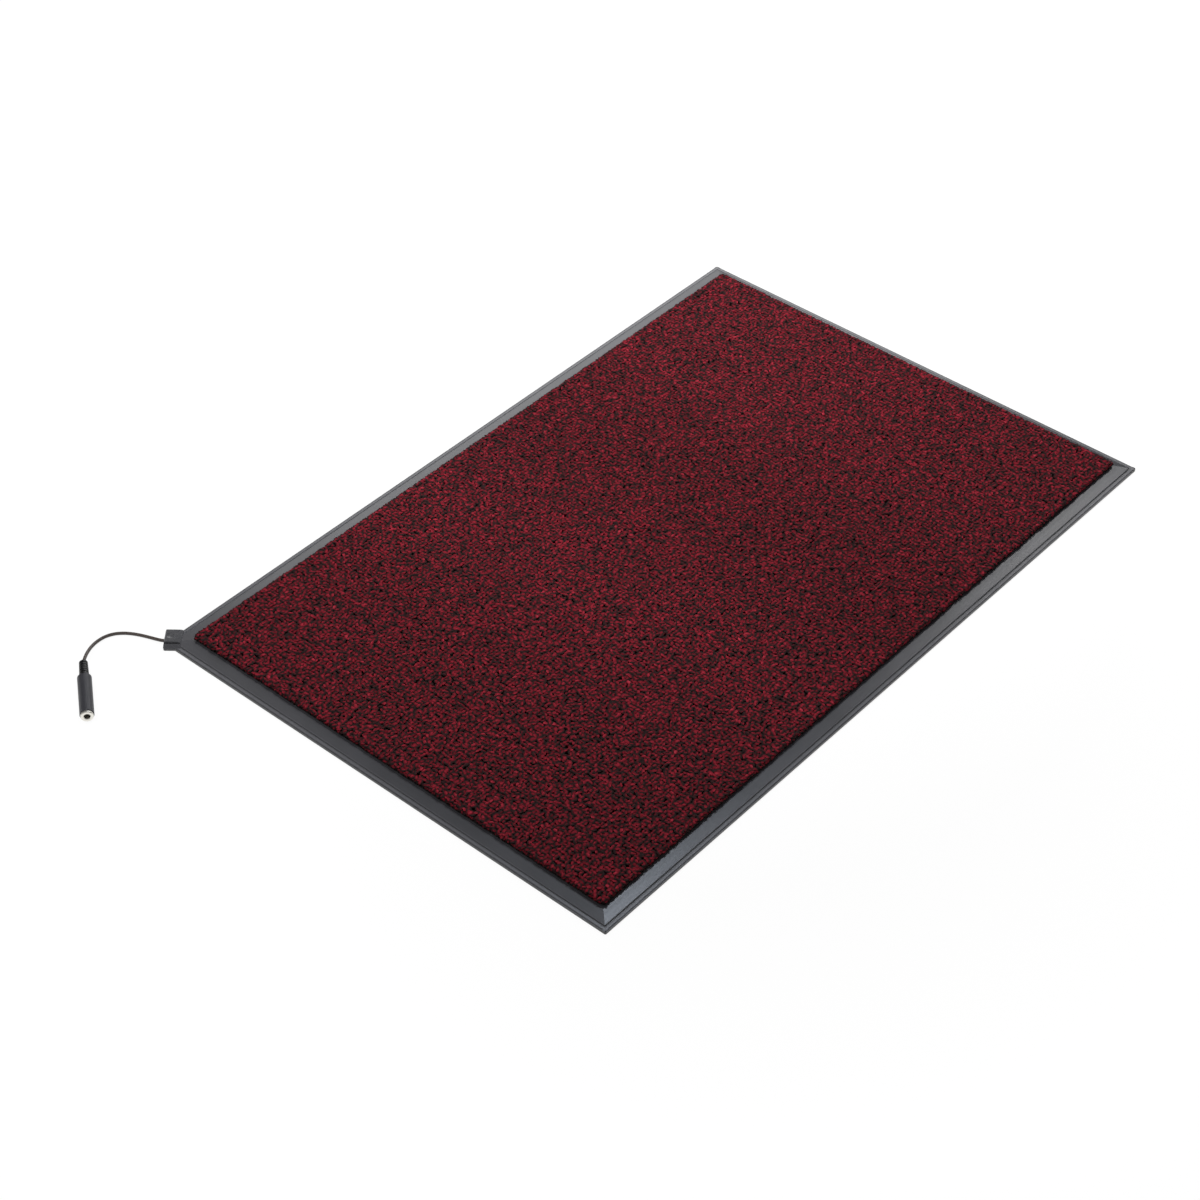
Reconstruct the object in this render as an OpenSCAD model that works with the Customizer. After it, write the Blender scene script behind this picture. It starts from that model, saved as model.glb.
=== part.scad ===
// Carpeted safety mat: a pressure switch between two rubber sheets, with a lead and an in-line jack socket.
// Millimetres, +Z up, +X along the long side. The origin is the middle of the underside.

/* [Mat] */
// Length of the mat
mat_l = 900; // [600:10:1200]
// Width of the mat
mat_w = 600; // [400:10:900]
// Radius of the mat's plain corners
mat_corner_r = 1.5; // [1:0.5:8]
// Thickness of the base sheet
base_t = 2; // [1.5:0.1:4]
// Thickness of the upper sheet above the switch
top_t = 1.5; // [1:0.1:3]

/* [Border] */
// Width of the bead along the edge of the base sheet
bead_w = 4.6; // [4:0.2:10]
// Height of the bead above the base sheet
bead_rise = 1.3; // [0.6:0.1:2]
// Radius on the bead's outer edge
bead_round = 2; // [0.4:0.1:2.4]
// Radius on the bead's inner edge
bead_inner_round = 0.4; // [0.2:0.1:1]
// Groove between the bead and the upper sheet
groove_w = 0.8; // [0.4:0.1:2]
// Depth of the groove below the top of the bead
groove_depth = 0.4; // [0.2:0.1:1]
// Width of the sloping border, from the groove to the carpet
border_w = 14.8; // [8:0.2:24]
// Width of the border at the end away from the lug
end_border_w = 9.2; // [8:0.2:24]
// Fall of the border from the carpet to the groove
border_fall = 1.4; // [0:0.1:1.5]
// Bevel on the border's outer edge
border_bevel = 0.6; // [0.2:0.1:1]

/* [Switch] */
// Thickness of each contact sheet
foil_t = 0.3; // [0.2:0.05:0.6]
// Thickness of the spacer foam
foam_t = 1.5; // [1:0.1:3]
// Width of the glued rim between the groove and the switch
rim_w = 24; // [18:0.5:40]
// Gap between the switch and the rim around it
switch_clear = 0.5; // [0.2:0.1:1]
// Diameter of the holes in the spacer foam
foam_hole_d = 32; // [15:1:45]
// Spacing of the holes in the spacer foam
foam_pitch = 66; // [60:1:100]
// Foam left between the outermost holes and its edge
foam_edge = 20; // [15:1:40]

/* [Carpet] */
// Thickness of the tufting cloth
cloth_t = 0.8; // [0.5:0.1:1.5]
// Spread of the pile past the edge of the cloth
pile_spread = 1; // [0:0.1:2]
// Height of the pile above the cloth
pile_h = 5.6; // [3:0.1:10]
// Spacing of the tuft rows
row_gauge = 4; // [3.5:0.1:8]
// Depth of the furrow between two tuft rows
row_furrow = 1; // [0.3:0.1:2]
// Radius of the carpet's corners
carpet_corner_r = 5; // [2:0.5:12]

/* [Cable lug] */
// Direction in which the lug points out of the corner, in degrees
lug_angle = 130; // [120:1:150]
// Reach of the lug from the lead to the side of its lower shelf
lug_front = 12.2; // [11:0.2:14]
// Reach of the lug from the lead to its other side
lug_back = 14.6; // [10:0.2:16]
// Length of the lug from the cut corner to its end
lug_l = 18; // [16:0.5:22]
// Reach of the lug past the sharp corner of the mat
lug_reach = 1.5; // [0:0.1:5]
// Shift of the lug to the far side of the corner
lug_shift = 3; // [0:0.1:4]
// Height of the lower shelf along its front edge
shelf_front_h = 2.6; // [2:0.1:4]
// Height of the lower shelf along the upper tab
shelf_h = 4.6; // [4:0.1:5.4]
// Width of the lower shelf in front of the upper tab
shelf_w = 7.2; // [3:0.2:8]
// Height of the lug's upper tab
tab_h = 6.3; // [6.1:0.1:8]
// Length of the ramp from the border up to the tab
ramp_l = 6.5; // [3:0.5:9]
// Width of the seam along the foot of the upper tab
seam_w = 1; // [0.4:0.1:1.6]
// Depth of the seam below the shelf
seam_depth = 1; // [0.3:0.1:1.4]
// Radius of the lug's corners in plan
lug_round = 2; // [0.5:0.1:3]
// Radius on the upper edges of the tab
tab_round = 1; // [0.4:0.1:1.4]
// Depth of the thumb dent in the upper tab
dent_depth = 0.4; // [0.1:0.05:0.45]
// Radius of the thumb dent's hollow
dent_r = 22; // [15:1:30]
// Width of the wire channel, which also takes the lug's tail
channel_w = 9.2; // [9:0.1:10]
// Length of the lug's tail in the wire channel
tail_l = 11; // [8:0.5:12]
// Gap between the tail and the channel's walls
tail_clear = 0.1; // [0.05:0.05:0.3]

/* [Lead] */
// Diameter of the lead
cord_d = 3.6; // [2.8:0.1:3.7]
// Diameter of each insulated core
core_d = 1; // [0.8:0.1:1.1]
// Gap around the lead and its cores in the pieces they pass through
cord_clear = 0.15; // [0.1:0.05:0.3]
// Length of lead held inside the lug
cord_in_lug = 11; // [8:0.5:12]
// Length of lead held inside the boot
cord_in_boot = 26; // [22:0.5:28]

/* [Terminals] */
// Spread of each core from the middle of the channel
core_spread = 2.2; // [2:0.1:2.4]
// Width of each contact sheet's tongue
tongue_w = 3.4; // [2.5:0.1:3.6]
// Margin of the tongue beside a terminal's plate
tongue_margin = 0.3; // [0.1:0.1:0.5]
// Length of each tongue past the cut corner of the switch
tongue_l = 12; // [10:0.5:14]
// Thickness of a terminal's plate
terminal_t = 0.4; // [0.3:0.05:0.5]
// Length of a terminal's plate
terminal_l = 6; // [4:0.5:9]
// Length of a terminal's crimp barrel
barrel_l = 4; // [3:0.5:5]
// Wall of a terminal's crimp barrel
barrel_wall = 0.25; // [0.2:0.05:0.3]

/* [Socket] */
// Diameter of the jack plug that goes into the socket
plug_d = 6.35; // [3.5, 6.35]
// Radial clearance of the plug in the bush
plug_clear = 0.1; // [0.06:0.01:0.2]
// Diameter of the socket's sleeve
sleeve_d = 14.8; // [14:0.1:18]
// Wall of the sleeve
sleeve_wall = 1.2; // [0.8:0.1:1.2]
// Length of the sleeve
sleeve_l = 56.2; // [54:0.2:66]
// Length of the bevelled shoulder at the sleeve's rear end
shoulder_l = 1.6; // [0.8:0.1:6]
// Width of the sleeve's flat rear rim
rear_rim = 1.4; // [0.4:0.1:1.8]
// Depth of the sleeve's solid rear wall
rear_wall = 6.5; // [5:0.5:8]
// Bevel on the sleeve's front edge
sleeve_bevel = 0.5; // [0.2:0.1:0.6]
// Length of the boot behind the sleeve
boot_l = 21.4; // [15:0.2:26]
// Diameter of the boot's ribs at its free end
boot_tip_d = 9; // [7:0.1:10]
// Diameter of the boot's ribs at the sleeve
boot_root_d = 10.2; // [9:0.1:11]
// Diameter of the boot's neck in the sleeve
boot_neck_d = 8.8; // [8.2:0.1:9.2]
// Number of ribs on the boot
boot_ribs = 6; // [3:1:8]
// Depth of the grooves between the ribs
boot_groove = 0.5; // [0.3:0.1:1.2]
// Thickness of the boot's flange inside the sleeve
boot_flange_t = 2; // [1:0.1:3]
// Diameter of the bush's front flange
bush_d = 13.2; // [12.8:0.1:13.8]
// How far the bush stands in front of the sleeve
bush_proud = 2.7; // [1.5:0.1:4]
// Rounding of the bush's front edge
bush_round = 1; // [0.4:0.1:1.3]
// Length of the bush's body inside the sleeve
bush_l = 9; // [7:0.5:11]
// Wall of the bush's rear spigot
spigot_wall = 0.9; // [0.6:0.1:1.2]
// Length of the bush's rear spigot
spigot_l = 1.5; // [1:0.1:2]
// Chamfer at the mouth of the jack bore
mouth_chamfer = 0.6; // [0.2:0.1:1]
// Radial gap at the bush, boot and tag fits
fit_clear = 0.05; // [0.02:0.01:0.1]

/* [Socket contacts] */
// Thickness of the sheet that the tag and spring are cut from
leaf_t = 0.4; // [0.3:0.05:0.5]
// Width of the tag's leg and of the spring
leaf_w = 3.6; // [3:0.1:4]
// Thickness of each insulating wafer
wafer_t = 0.5; // [0.4:0.05:0.5]
// Length of the insulating wafers
wafer_l = 7; // [5:0.5:9]
// Gap between the bush's spigot and the wafers
wafer_gap = 0.3; // [0.2:0.1:1]
// Diameter of the rivet's shank
rivet_d = 1.2; // [1:0.1:1.4]
// Diameter of the rivet's heads
rivet_head_d = 2.2; // [1.8:0.1:2.4]
// Radial gap between the rivet and the tip spring
rivet_gap = 0.4; // [0.2:0.05:0.5]
// Thickness of the rivet's heads
rivet_head_t = 0.25; // [0.2:0.05:0.25]
// Depth of the plug's tip contact behind the bush's front face
tip_depth = 27.5; // [24:0.5:29]
// Length of the crest that touches the plug's tip
crest_l = 2; // [1:0.1:3]
// Length of the fall behind the crest
crest_fall = 3; // [2:0.1:4]
// Gap between the plug's path and the spring stack
plug_gap = 0.1; // [0.05:0.05:0.2]
// Gap between the tag's ring and the sleeve
ring_gap = 0.3; // [0.2:0.05:0.5]
// Length of the sleeve tag's leg
tag_leg_l = 32; // [28:0.5:33]
// Length of the tip spring
spring_l = 27; // [24:0.5:28]
// Diameter of the solder eye in the tag and the spring
eye_d = 1.3; // [1.2:0.1:1.6]
// Distance of each solder eye from the end of its leaf
eye_in = 1.8; // [1.2:0.1:2.5]
// Length over which a core bends down to its solder eye
core_bend_l = 3; // [2:0.5:4]

/* [Hidden] */
$fn = 48;

// Colours
rubber_grey = [0.26, 0.27, 0.28];
pile_red = [0.45, 0.08, 0.13];
cloth_grey = [0.35, 0.33, 0.32];
foil_silver = [0.78, 0.79, 0.8];
foam_cream = [0.87, 0.84, 0.72];
brass = [0.8, 0.65, 0.3];
nickel = [0.8, 0.79, 0.75];
cord_black = [0.1, 0.1, 0.11];
sleeve_black = [0.16, 0.16, 0.17];
wafer_brown = [0.45, 0.28, 0.16];
core_red = [0.7, 0.1, 0.1];
core_black = [0.08, 0.08, 0.08];

// Reach of a cutting shape past what it cuts
past = 1;

// Heights of the layers, from the floor up
lower_foil_z = base_t;
foam_z = lower_foil_z + foil_t;
upper_foil_z = foam_z + foam_t;
switch_top = upper_foil_z + foil_t;
core_z = (base_t + switch_top)/2;
cloth_z = switch_top + top_t;
pile_z = cloth_z + cloth_t;
pile_top = pile_z + pile_h;

// Outlines of the layers
top_inset = bead_w + groove_w;
carpet_l = mat_l - 2*top_inset - border_w - end_border_w;
carpet_w = mat_w - 2*(top_inset + border_w);
carpet_x = (border_w - end_border_w)/2;
pocket_l = mat_l - 2*(top_inset + rim_w);
pocket_w = mat_w - 2*(top_inset + rim_w);
switch_l = pocket_l - 2*switch_clear;
switch_w = pocket_w - 2*switch_clear;

// The lug's own directions: x out of the corner, y to the side of the lower shelf
corner = [-mat_l/2, mat_w/2];
cut_x = lug_reach - lug_l;
tail_end_x = cut_x - tail_l;
pocket_corner = [top_inset + rim_w, -top_inset - rim_w];
pocket_x = pocket_corner[0]*cos(lug_angle) + pocket_corner[1]*sin(lug_angle);
switch_cut_x = pocket_x - channel_w/2;
tongue_end_x = switch_cut_x + tongue_l;
tongue_root = 4;
core_pair = core_d*0.6;
core_part_l = 2;
tab_y = lug_front - shelf_w;
border_edge_z = cloth_z - border_fall;

// The socket's own directions: x out of the jack bore, z up
socket_at = [-78.4, 36.3, sleeve_d/2];
socket_angle = 232;
sleeve_rear = boot_l;
sleeve_front = boot_l + sleeve_l;
bush_front = sleeve_front + bush_proud;
bush_rear = sleeve_front - bush_l;
bore_r = plug_d/2 + plug_clear;
cavity_r = sleeve_d/2 - sleeve_wall;
cavity_rear = sleeve_rear + rear_wall;
spigot_r = bore_r + spigot_wall;
ring_r = cavity_r - ring_gap;

// Heights in the spring stack, below the jack bore's axis, from the upper rivet head down
stack_top = -bore_r - plug_gap - rivet_head_t;
spring_z = stack_top - wafer_t - leaf_t;
lower_wafer_z = spring_z - wafer_t;
leg_z = lower_wafer_z - leaf_t;
wafer_front = bush_rear - spigot_l - wafer_gap;
rivet_x = wafer_front - wafer_l/2;
tip_x = bush_front - tip_depth;
spring_rear = wafer_front - spring_l;
leg_rear = bush_rear - tag_leg_l;

// Length of lead that stays straight in front of the lug
cord_straight = 1.2;

// Middle of the lead's route, measured from the sharp corner of the mat
route_middle = [
    [-1.4, 8.2, 2.9], [-3.6, 15.1, 2.4], [-6.2, 23, 2], [-9.7, 31.2, 1.9], [-14, 38.9, 1.9], [-19.4, 45.8, 1.9],
    [-26.4, 51.4, 2], [-34.8, 54.4, 2.3], [-44.2, 54.4, 3], [-53.5, 52, 4.2], [-62.3, 47.8, 5.6], [-70, 42.9, 6.8],
    [-75.2, 39, 7.3]
];

// Points of the lead's two held ends
function lug_point(p) =
    [p[0]*cos(lug_angle) - p[1]*sin(lug_angle), p[0]*sin(lug_angle) + p[1]*cos(lug_angle), p[2]];
function socket_point(x) = socket_at + x*[cos(socket_angle), sin(socket_angle), 0];
route = concat(
    [for (x = [lug_reach - cord_in_lug, lug_reach - cord_in_lug/2, lug_reach + cord_straight])
        lug_point([x, -lug_shift, core_z])],
    route_middle,
    [for (x = [0, cord_in_boot/2, cord_in_boot]) socket_point(x)]
);

// Shared outlines and frames

module rounded_rect(l, w, r) {
    square([l - 2*r, w], center = true);
    square([l, w - 2*r], center = true);
    for (x = [-1, 1], y = [-1, 1])
        translate([x*(l/2 - r), y*(w/2 - r)])
            circle(r);
}

// Everything on the lug's side of a line across the corner
module corner_side(x) {
    translate(corner)
        rotate(lug_angle)
            translate([x, -mat_w/2])
                square([mat_w, mat_w]);
}

// A sheet's outline, with the lug's place cut out of its corner
module sheet_outline(inset) {
    difference() {
        rounded_rect(mat_l - 2*inset, mat_w - 2*inset, mat_corner_r);
        lug_frame()
            translate([cut_x, -lug_back])
                square([mat_w, lug_back + lug_front]);
    }
}

module lug_frame() {
    translate(corner)
        rotate(lug_angle)
            translate([0, -lug_shift])
                children();
}

module socket_frame() {
    translate(corner)
        translate(socket_at)
            rotate(socket_angle)
                children();
}

// Turns an outline of radius and length about the socket's axis
module turned(points) {
    rotate([0, 90, 0])
        rotate_extrude($fn = 64)
            polygon(points);
}

// Pulls an outline in x and z to a width along y
module pulled(width, points) {
    translate([0, width/2, 0])
        rotate([90, 0, 0])
            linear_extrude(width)
                polygon(points);
}

// An eight-sided tube swept along a list of points, for the lead and its cores
tube_sides = 8;
function unit(v) = v/norm(v);
function heading(path, i) = unit(path[min(i + 1, len(path) - 1)] - path[max(i - 1, 0)]);
function ring(path, i, r) =
    let (t = heading(path, i), side = unit(cross([0, 0, 1], t)), up = cross(t, side))
    [for (k = [0 : tube_sides - 1])
        path[i] + r*(cos(360*k/tube_sides)*side + sin(360*k/tube_sides)*up)];
function tube_walls(rings) = [
    for (i = [0 : rings - 2], k = [0 : tube_sides - 1])
        let (n = (k + 1) % tube_sides)
        [i*tube_sides + k, (i + 1)*tube_sides + k, (i + 1)*tube_sides + n, i*tube_sides + n]
];

module tube(path, d) {
    last = len(path) - 1;
    polyhedron(
        [for (i = [0 : last], p = ring(path, i, d/2)) p],
        concat(
            tube_walls(len(path)),
            [[for (k = [0 : tube_sides - 1]) k],
             [for (k = [tube_sides - 1 : -1 : 0]) last*tube_sides + k]]
        )
    );
}

// Base sheet and upper sheet

module bead_section() {
    top = base_t + bead_rise;
    square([bead_w + groove_w, top - groove_depth]);
    square([bead_w, top - max(bead_round, bead_inner_round)]);
    translate([bead_round, 0]) {
        square([bead_w - bead_round, top - bead_inner_round]);
        square([bead_w - bead_round - bead_inner_round, top]);
    }
    translate([bead_round, top - bead_round])
        circle(bead_round);
    translate([bead_w - bead_inner_round, top - bead_inner_round])
        circle(bead_inner_round);
}

// One side's bead and the floor of its groove, with its outer face on the mat's edge
module bead(length, reach) {
    translate([-length/2, -reach, 0])
        rotate([90, 0, 90])
            linear_extrude(length)
                bead_section();
}

module base_mat() {
    color(rubber_grey)
        intersection() {
            linear_extrude(base_t + bead_rise)
                sheet_outline(0);
            union() {
                linear_extrude(base_t)
                    square([mat_l, mat_w], center = true);
                for (turn = [0, 180])
                    rotate(turn) {
                        bead(mat_l, mat_w/2);
                        rotate(90)
                            bead(mat_w, mat_l/2);
                    }
            }
        }
}

// Section of the upper sheet across its whole reach, from the base sheet up
function border_section(reach, far_w) = [
    [-reach, base_t], [-reach, border_edge_z - border_bevel], [-reach + border_bevel, border_edge_z],
    [-reach + border_w, cloth_z], [reach - far_w, cloth_z],
    [reach - border_bevel, border_edge_z], [reach, border_edge_z - border_bevel], [reach, base_t]
];

module top_mat() {
    color(rubber_grey)
        difference() {
            intersection() {
                pulled(mat_w, border_section(mat_l/2 - top_inset, end_border_w));
                rotate(90)
                    pulled(mat_l, border_section(mat_w/2 - top_inset, border_w));
                linear_extrude(cloth_z + past)
                    sheet_outline(top_inset);
            }
            translate([-pocket_l/2, -pocket_w/2, base_t - past])
                cube([pocket_l, pocket_w, switch_top - base_t + past]);
            lug_frame()
                translate([switch_cut_x - tongue_root, -channel_w/2, base_t - past])
                    cube([cut_x - switch_cut_x + tongue_root + past, channel_w, switch_top - base_t + past]);
        }
}

// Pressure switch

module switch_outline() {
    difference() {
        square([switch_l, switch_w], center = true);
        corner_side(switch_cut_x);
    }
}

// The tongue that carries a contact sheet's terminal, on one side of the channel
module tongue_outline(side) {
    lug_frame()
        translate([switch_cut_x - tongue_root, side*core_spread - tongue_w/2])
            square([tongue_l + tongue_root, tongue_w]);
}

module contact_sheet(z, side) {
    translate([0, 0, z])
        linear_extrude(foil_t) {
            switch_outline();
            tongue_outline(side);
        }
}

module lower_contact() {
    color(foil_silver)
        contact_sheet(lower_foil_z, 1);
}

module upper_contact() {
    color(foil_silver)
        contact_sheet(upper_foil_z, -1);
}

module spacer_foam() {
    columns = floor((switch_l - 2*foam_edge - foam_hole_d)/foam_pitch);
    rows = floor((switch_w - 2*foam_edge - foam_hole_d)/foam_pitch);
    color(foam_cream)
        translate([0, 0, foam_z])
            linear_extrude(foam_t)
                difference() {
                    switch_outline();
                    for (i = [0 : columns], j = [0 : rows])
                        translate([(i - columns/2)*foam_pitch, (j - rows/2)*foam_pitch])
                            circle(d = foam_hole_d);
                }
}

// A crimp terminal: its barrel lies along the core, and its plate lies on the tongue at height z
module terminal(z) {
    barrel_d = core_d + 2*cord_clear + 2*barrel_wall;
    plate_w = tongue_w - 2*tongue_margin;
    difference() {
        union() {
            translate([tongue_end_x - terminal_l, -plate_w/2, z])
                cube([terminal_l + past, plate_w, terminal_t]);
            translate([tongue_end_x, 0, core_z])
                rotate([0, 90, 0])
                    cylinder(d = barrel_d, h = barrel_l);
        }
        translate([tongue_end_x, 0, core_z])
            rotate([0, 90, 0])
                cylinder(d = core_d + 2*cord_clear, h = barrel_l + past);
    }
}

module lower_terminal() {
    color(brass)
        lug_frame()
            translate([0, core_spread, 0])
                terminal(foam_z);
}

module upper_terminal() {
    color(brass)
        lug_frame()
            translate([0, -core_spread, 0])
                terminal(upper_foil_z - terminal_t);
}

// Carpet

module carpet_backing() {
    color(cloth_grey)
        translate([carpet_x, 0, cloth_z])
            linear_extrude(cloth_t)
                rounded_rect(carpet_l - 2*pile_spread, carpet_w - 2*pile_spread, carpet_corner_r);
}

// Rows of tufts stand side by side across the width: each row is a low rounded ridge
row_count = round(carpet_w/row_gauge);
row_step = carpet_w/row_count;
row_shape = [[0, 1], [0.2, 0.3], [0.5, 0], [0.8, 0.3]];
function pile_section() = concat(
    [[-carpet_w/2, pile_z]],
    [for (i = [0 : row_count - 1], p = row_shape)
        [-carpet_w/2 + (i + p[0])*row_step, pile_top - p[1]*row_furrow]],
    [[carpet_w/2, pile_top - row_furrow], [carpet_w/2, pile_z]]
);

module carpet_pile() {
    color(pile_red)
        translate([carpet_x, 0, 0])
            intersection() {
                rotate(90)
                    pulled(carpet_l, pile_section());
                linear_extrude(pile_top + past)
                    rounded_rect(carpet_l, carpet_w, carpet_corner_r);
            }
}

// Corner lug

// The run of each core in the lug and the channel: out of the lead, apart, then along the channel
core_start_x = lug_reach - cord_in_lug;
function core_run(side) = [
    [core_start_x, side*core_pair, core_z],
    [core_start_x - core_part_l, side*core_pair, core_z],
    [tail_end_x, side*core_spread, core_z],
    [tongue_end_x, side*core_spread, core_z]
];

// The flat fan-shaped slot that the cores part in, from the end of the lead to the end of the tail
module core_slot() {
    near_y = core_pair + core_d/2 + cord_clear;
    far_y = core_spread + core_d/2 + cord_clear;
    translate([0, 0, core_z - core_d/2 - cord_clear])
        linear_extrude(core_d + 2*cord_clear)
            polygon([
                [core_start_x, near_y], [core_start_x - core_part_l, near_y], [tail_end_x, far_y],
                [tail_end_x - past, far_y], [tail_end_x - past, -far_y], [tail_end_x, -far_y],
                [core_start_x - core_part_l, -near_y], [core_start_x, -near_y]
            ]);
}

module lug_outline(y0, y1) {
    translate([cut_x, y0])
        square([lug_l - lug_round, y1 - y0]);
    translate([cut_x, y0 + lug_round])
        square([lug_l, y1 - y0 - 2*lug_round]);
    for (y = [y0 + lug_round, y1 - lug_round])
        translate([lug_reach - lug_round, y])
            circle(lug_round);
}

// The upper tab from the side: it ramps up from the border to its full height
module tab_section() {
    polygon([
        [cut_x, shelf_h - past], [cut_x, max(border_edge_z, shelf_h)], [cut_x + ramp_l, tab_h],
        [lug_reach - tab_round, tab_h], [lug_reach, tab_h - tab_round], [lug_reach, shelf_h - past]
    ]);
}

// The upper tab from its end: its long edges are bevelled
module tab_end_section() {
    polygon([
        [-lug_back, 0], [-lug_back, tab_h - tab_round], [-lug_back + tab_round, tab_h],
        [tab_y - tab_round, tab_h], [tab_y, tab_h - tab_round], [tab_y, 0]
    ]);
}

// The lower shelf from its end: it falls from the tab to its front edge
module shelf_end_section() {
    polygon([[-lug_back, 0], [lug_front, 0], [lug_front, shelf_front_h], [tab_y, shelf_h], [-lug_back, shelf_h]]);
}

module cable_lug() {
    color(rubber_grey)
        lug_frame()
            difference() {
                union() {
                    intersection() {
                        translate([cut_x, 0, 0])
                            rotate([90, 0, 90])
                                linear_extrude(lug_l)
                                    shelf_end_section();
                        linear_extrude(shelf_h)
                            lug_outline(-lug_back, lug_front);
                    }
                    intersection() {
                        translate([0, lug_front, 0])
                            rotate([90, 0, 0])
                                linear_extrude(lug_back + lug_front)
                                    tab_section();
                        translate([cut_x, 0, 0])
                            rotate([90, 0, 90])
                                linear_extrude(lug_l)
                                    tab_end_section();
                        linear_extrude(tab_h)
                            lug_outline(-lug_back, tab_y);
                    }
                    translate([tail_end_x, -channel_w/2 + tail_clear, base_t])
                        cube([tail_l + past, channel_w - 2*tail_clear, switch_top - base_t]);
                }
                translate([(cut_x + ramp_l + lug_reach)/2, (tab_y - lug_back)/2, tab_h - dent_depth + dent_r])
                    sphere(dent_r, $fn = 64);
                translate([cut_x + seam_w, tab_y, shelf_h - seam_depth])
                    cube([lug_l, seam_w, seam_depth]);
                translate([core_start_x, 0, core_z])
                    rotate([0, 90, 0])
                        cylinder(d = cord_d + 2*cord_clear, h = cord_in_lug + past);
                core_slot();
            }
}

module lower_core() {
    color(core_red)
        lug_frame()
            tube(core_run(1), core_d);
}

module upper_core() {
    color(core_black)
        lug_frame()
            tube(core_run(-1), core_d);
}

module lead() {
    color(cord_black)
        translate(corner)
            tube(route, cord_d);
}

// Socket

// Radius of the boot's ribs at a distance from its free end
function boot_r(x) = boot_tip_d/2 + (boot_root_d - boot_tip_d)/2*x/boot_l;

module lead_boot() {
    pitch = boot_l/boot_ribs;
    bore = cord_d/2 + cord_clear;
    flange_r = cavity_r - fit_clear;
    ribs = [
        for (i = [0 : boot_ribs - 1], p = [[0, 0], [0.6, 0], [0.6, 1], [1, 1]])
            [boot_r((i + p[0])*pitch) - p[1]*boot_groove, (i + p[0])*pitch]
    ];
    color(cord_black)
        socket_frame()
            turned(concat(
                [[bore, 0]],
                ribs,
                [[boot_neck_d/2, boot_l], [boot_neck_d/2, cavity_rear], [flange_r, cavity_rear],
                 [flange_r, cavity_rear + boot_flange_t], [bore, cavity_rear + boot_flange_t]]
            ));
}

module socket_sleeve() {
    r = sleeve_d/2;
    rear_hole = boot_neck_d/2 + fit_clear;
    color(sleeve_black)
        socket_frame()
            turned([
                [rear_hole, sleeve_rear], [rear_hole + rear_rim, sleeve_rear], [r, sleeve_rear + shoulder_l],
                [r, sleeve_front - sleeve_bevel], [r - sleeve_bevel, sleeve_front],
                [cavity_r, sleeve_front], [cavity_r, cavity_rear], [rear_hole, cavity_rear]
            ]);
}

module socket_bush() {
    body_r = cavity_r - fit_clear;
    front_r = bush_d/2;
    arc = [for (a = [0 : 15 : 90])
        [front_r - bush_round + bush_round*cos(a), bush_front - bush_round + bush_round*sin(a)]];
    color(nickel)
        socket_frame()
            turned(concat(
                [[bore_r, bush_rear - spigot_l], [spigot_r, bush_rear - spigot_l], [spigot_r, bush_rear],
                 [body_r, bush_rear], [body_r, sleeve_front], [front_r, sleeve_front]],
                arc,
                [[bore_r + mouth_chamfer, bush_front], [bore_r, bush_front - mouth_chamfer]]
            ));
}

// A flat leaf in the socket, with its underside at a height below the axis
module leaf(x0, x1, z, t) {
    translate([x0, -leaf_w/2, z])
        cube([x1 - x0, leaf_w, t]);
}

module stack_hole(d) {
    translate([rivet_x, 0, -cavity_r])
        cylinder(d = d, h = cavity_r);
}

module solder_eye(x) {
    translate([x, 0, -cavity_r])
        cylinder(d = eye_d, h = cavity_r);
}

module sleeve_tag() {
    color(brass)
        socket_frame()
            difference() {
                union() {
                    turned([
                        [spigot_r + fit_clear, bush_rear - leaf_t], [ring_r, bush_rear - leaf_t],
                        [ring_r, bush_rear], [spigot_r + fit_clear, bush_rear]
                    ]);
                    leaf(leg_rear, bush_rear, leg_z, leaf_t);
                }
                stack_hole(rivet_d);
                solder_eye(leg_rear + eye_in);
            }
}

module wafer(z) {
    color(wafer_brown)
        socket_frame()
            difference() {
                leaf(wafer_front - wafer_l, wafer_front, z, wafer_t);
                stack_hole(rivet_d);
            }
}

module lower_wafer() {
    wafer(lower_wafer_z);
}

module upper_wafer() {
    wafer(spring_z + leaf_t);
}

// The spring runs flat through the stack, rises to the plug's tip and falls to its solder tag
module tip_spring() {
    crest_z = -bore_r - plug_gap - leaf_t;
    lower = [
        [wafer_front, spring_z], [wafer_front - wafer_l, spring_z],
        [tip_x + crest_l/2, crest_z], [tip_x - crest_l/2, crest_z],
        [tip_x - crest_l/2 - crest_fall, spring_z], [spring_rear, spring_z]
    ];
    upper = [for (i = [len(lower) - 1 : -1 : 0]) lower[i] + [0, leaf_t]];
    color(brass)
        socket_frame()
            difference() {
                pulled(leaf_w, concat(lower, upper));
                stack_hole(rivet_d + 2*rivet_gap);
                solder_eye(spring_rear + eye_in);
            }
}

module stack_rivet() {
    color(foil_silver)
        socket_frame()
            translate([rivet_x, 0, 0]) {
                translate([0, 0, leg_z - rivet_head_t])
                    cylinder(d = rivet_head_d, h = rivet_head_t);
                translate([0, 0, leg_z - rivet_head_t])
                    cylinder(d = rivet_d, h = stack_top - leg_z + 2*rivet_head_t);
                translate([0, 0, stack_top])
                    cylinder(d = rivet_head_d, h = rivet_head_t);
            }
}

// The cores inside the socket, from the end of the lead to the solder eyes
function socket_core_run(side, eye_x, z) = [
    [cord_in_boot, side*core_pair, 0], [eye_x - core_bend_l, side*core_pair, 0], [eye_x, 0, z + core_d/2]
];

module tip_core() {
    color(core_red)
        socket_frame()
            tube(socket_core_run(1, spring_rear + eye_in, spring_z + leaf_t), core_d);
}

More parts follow.
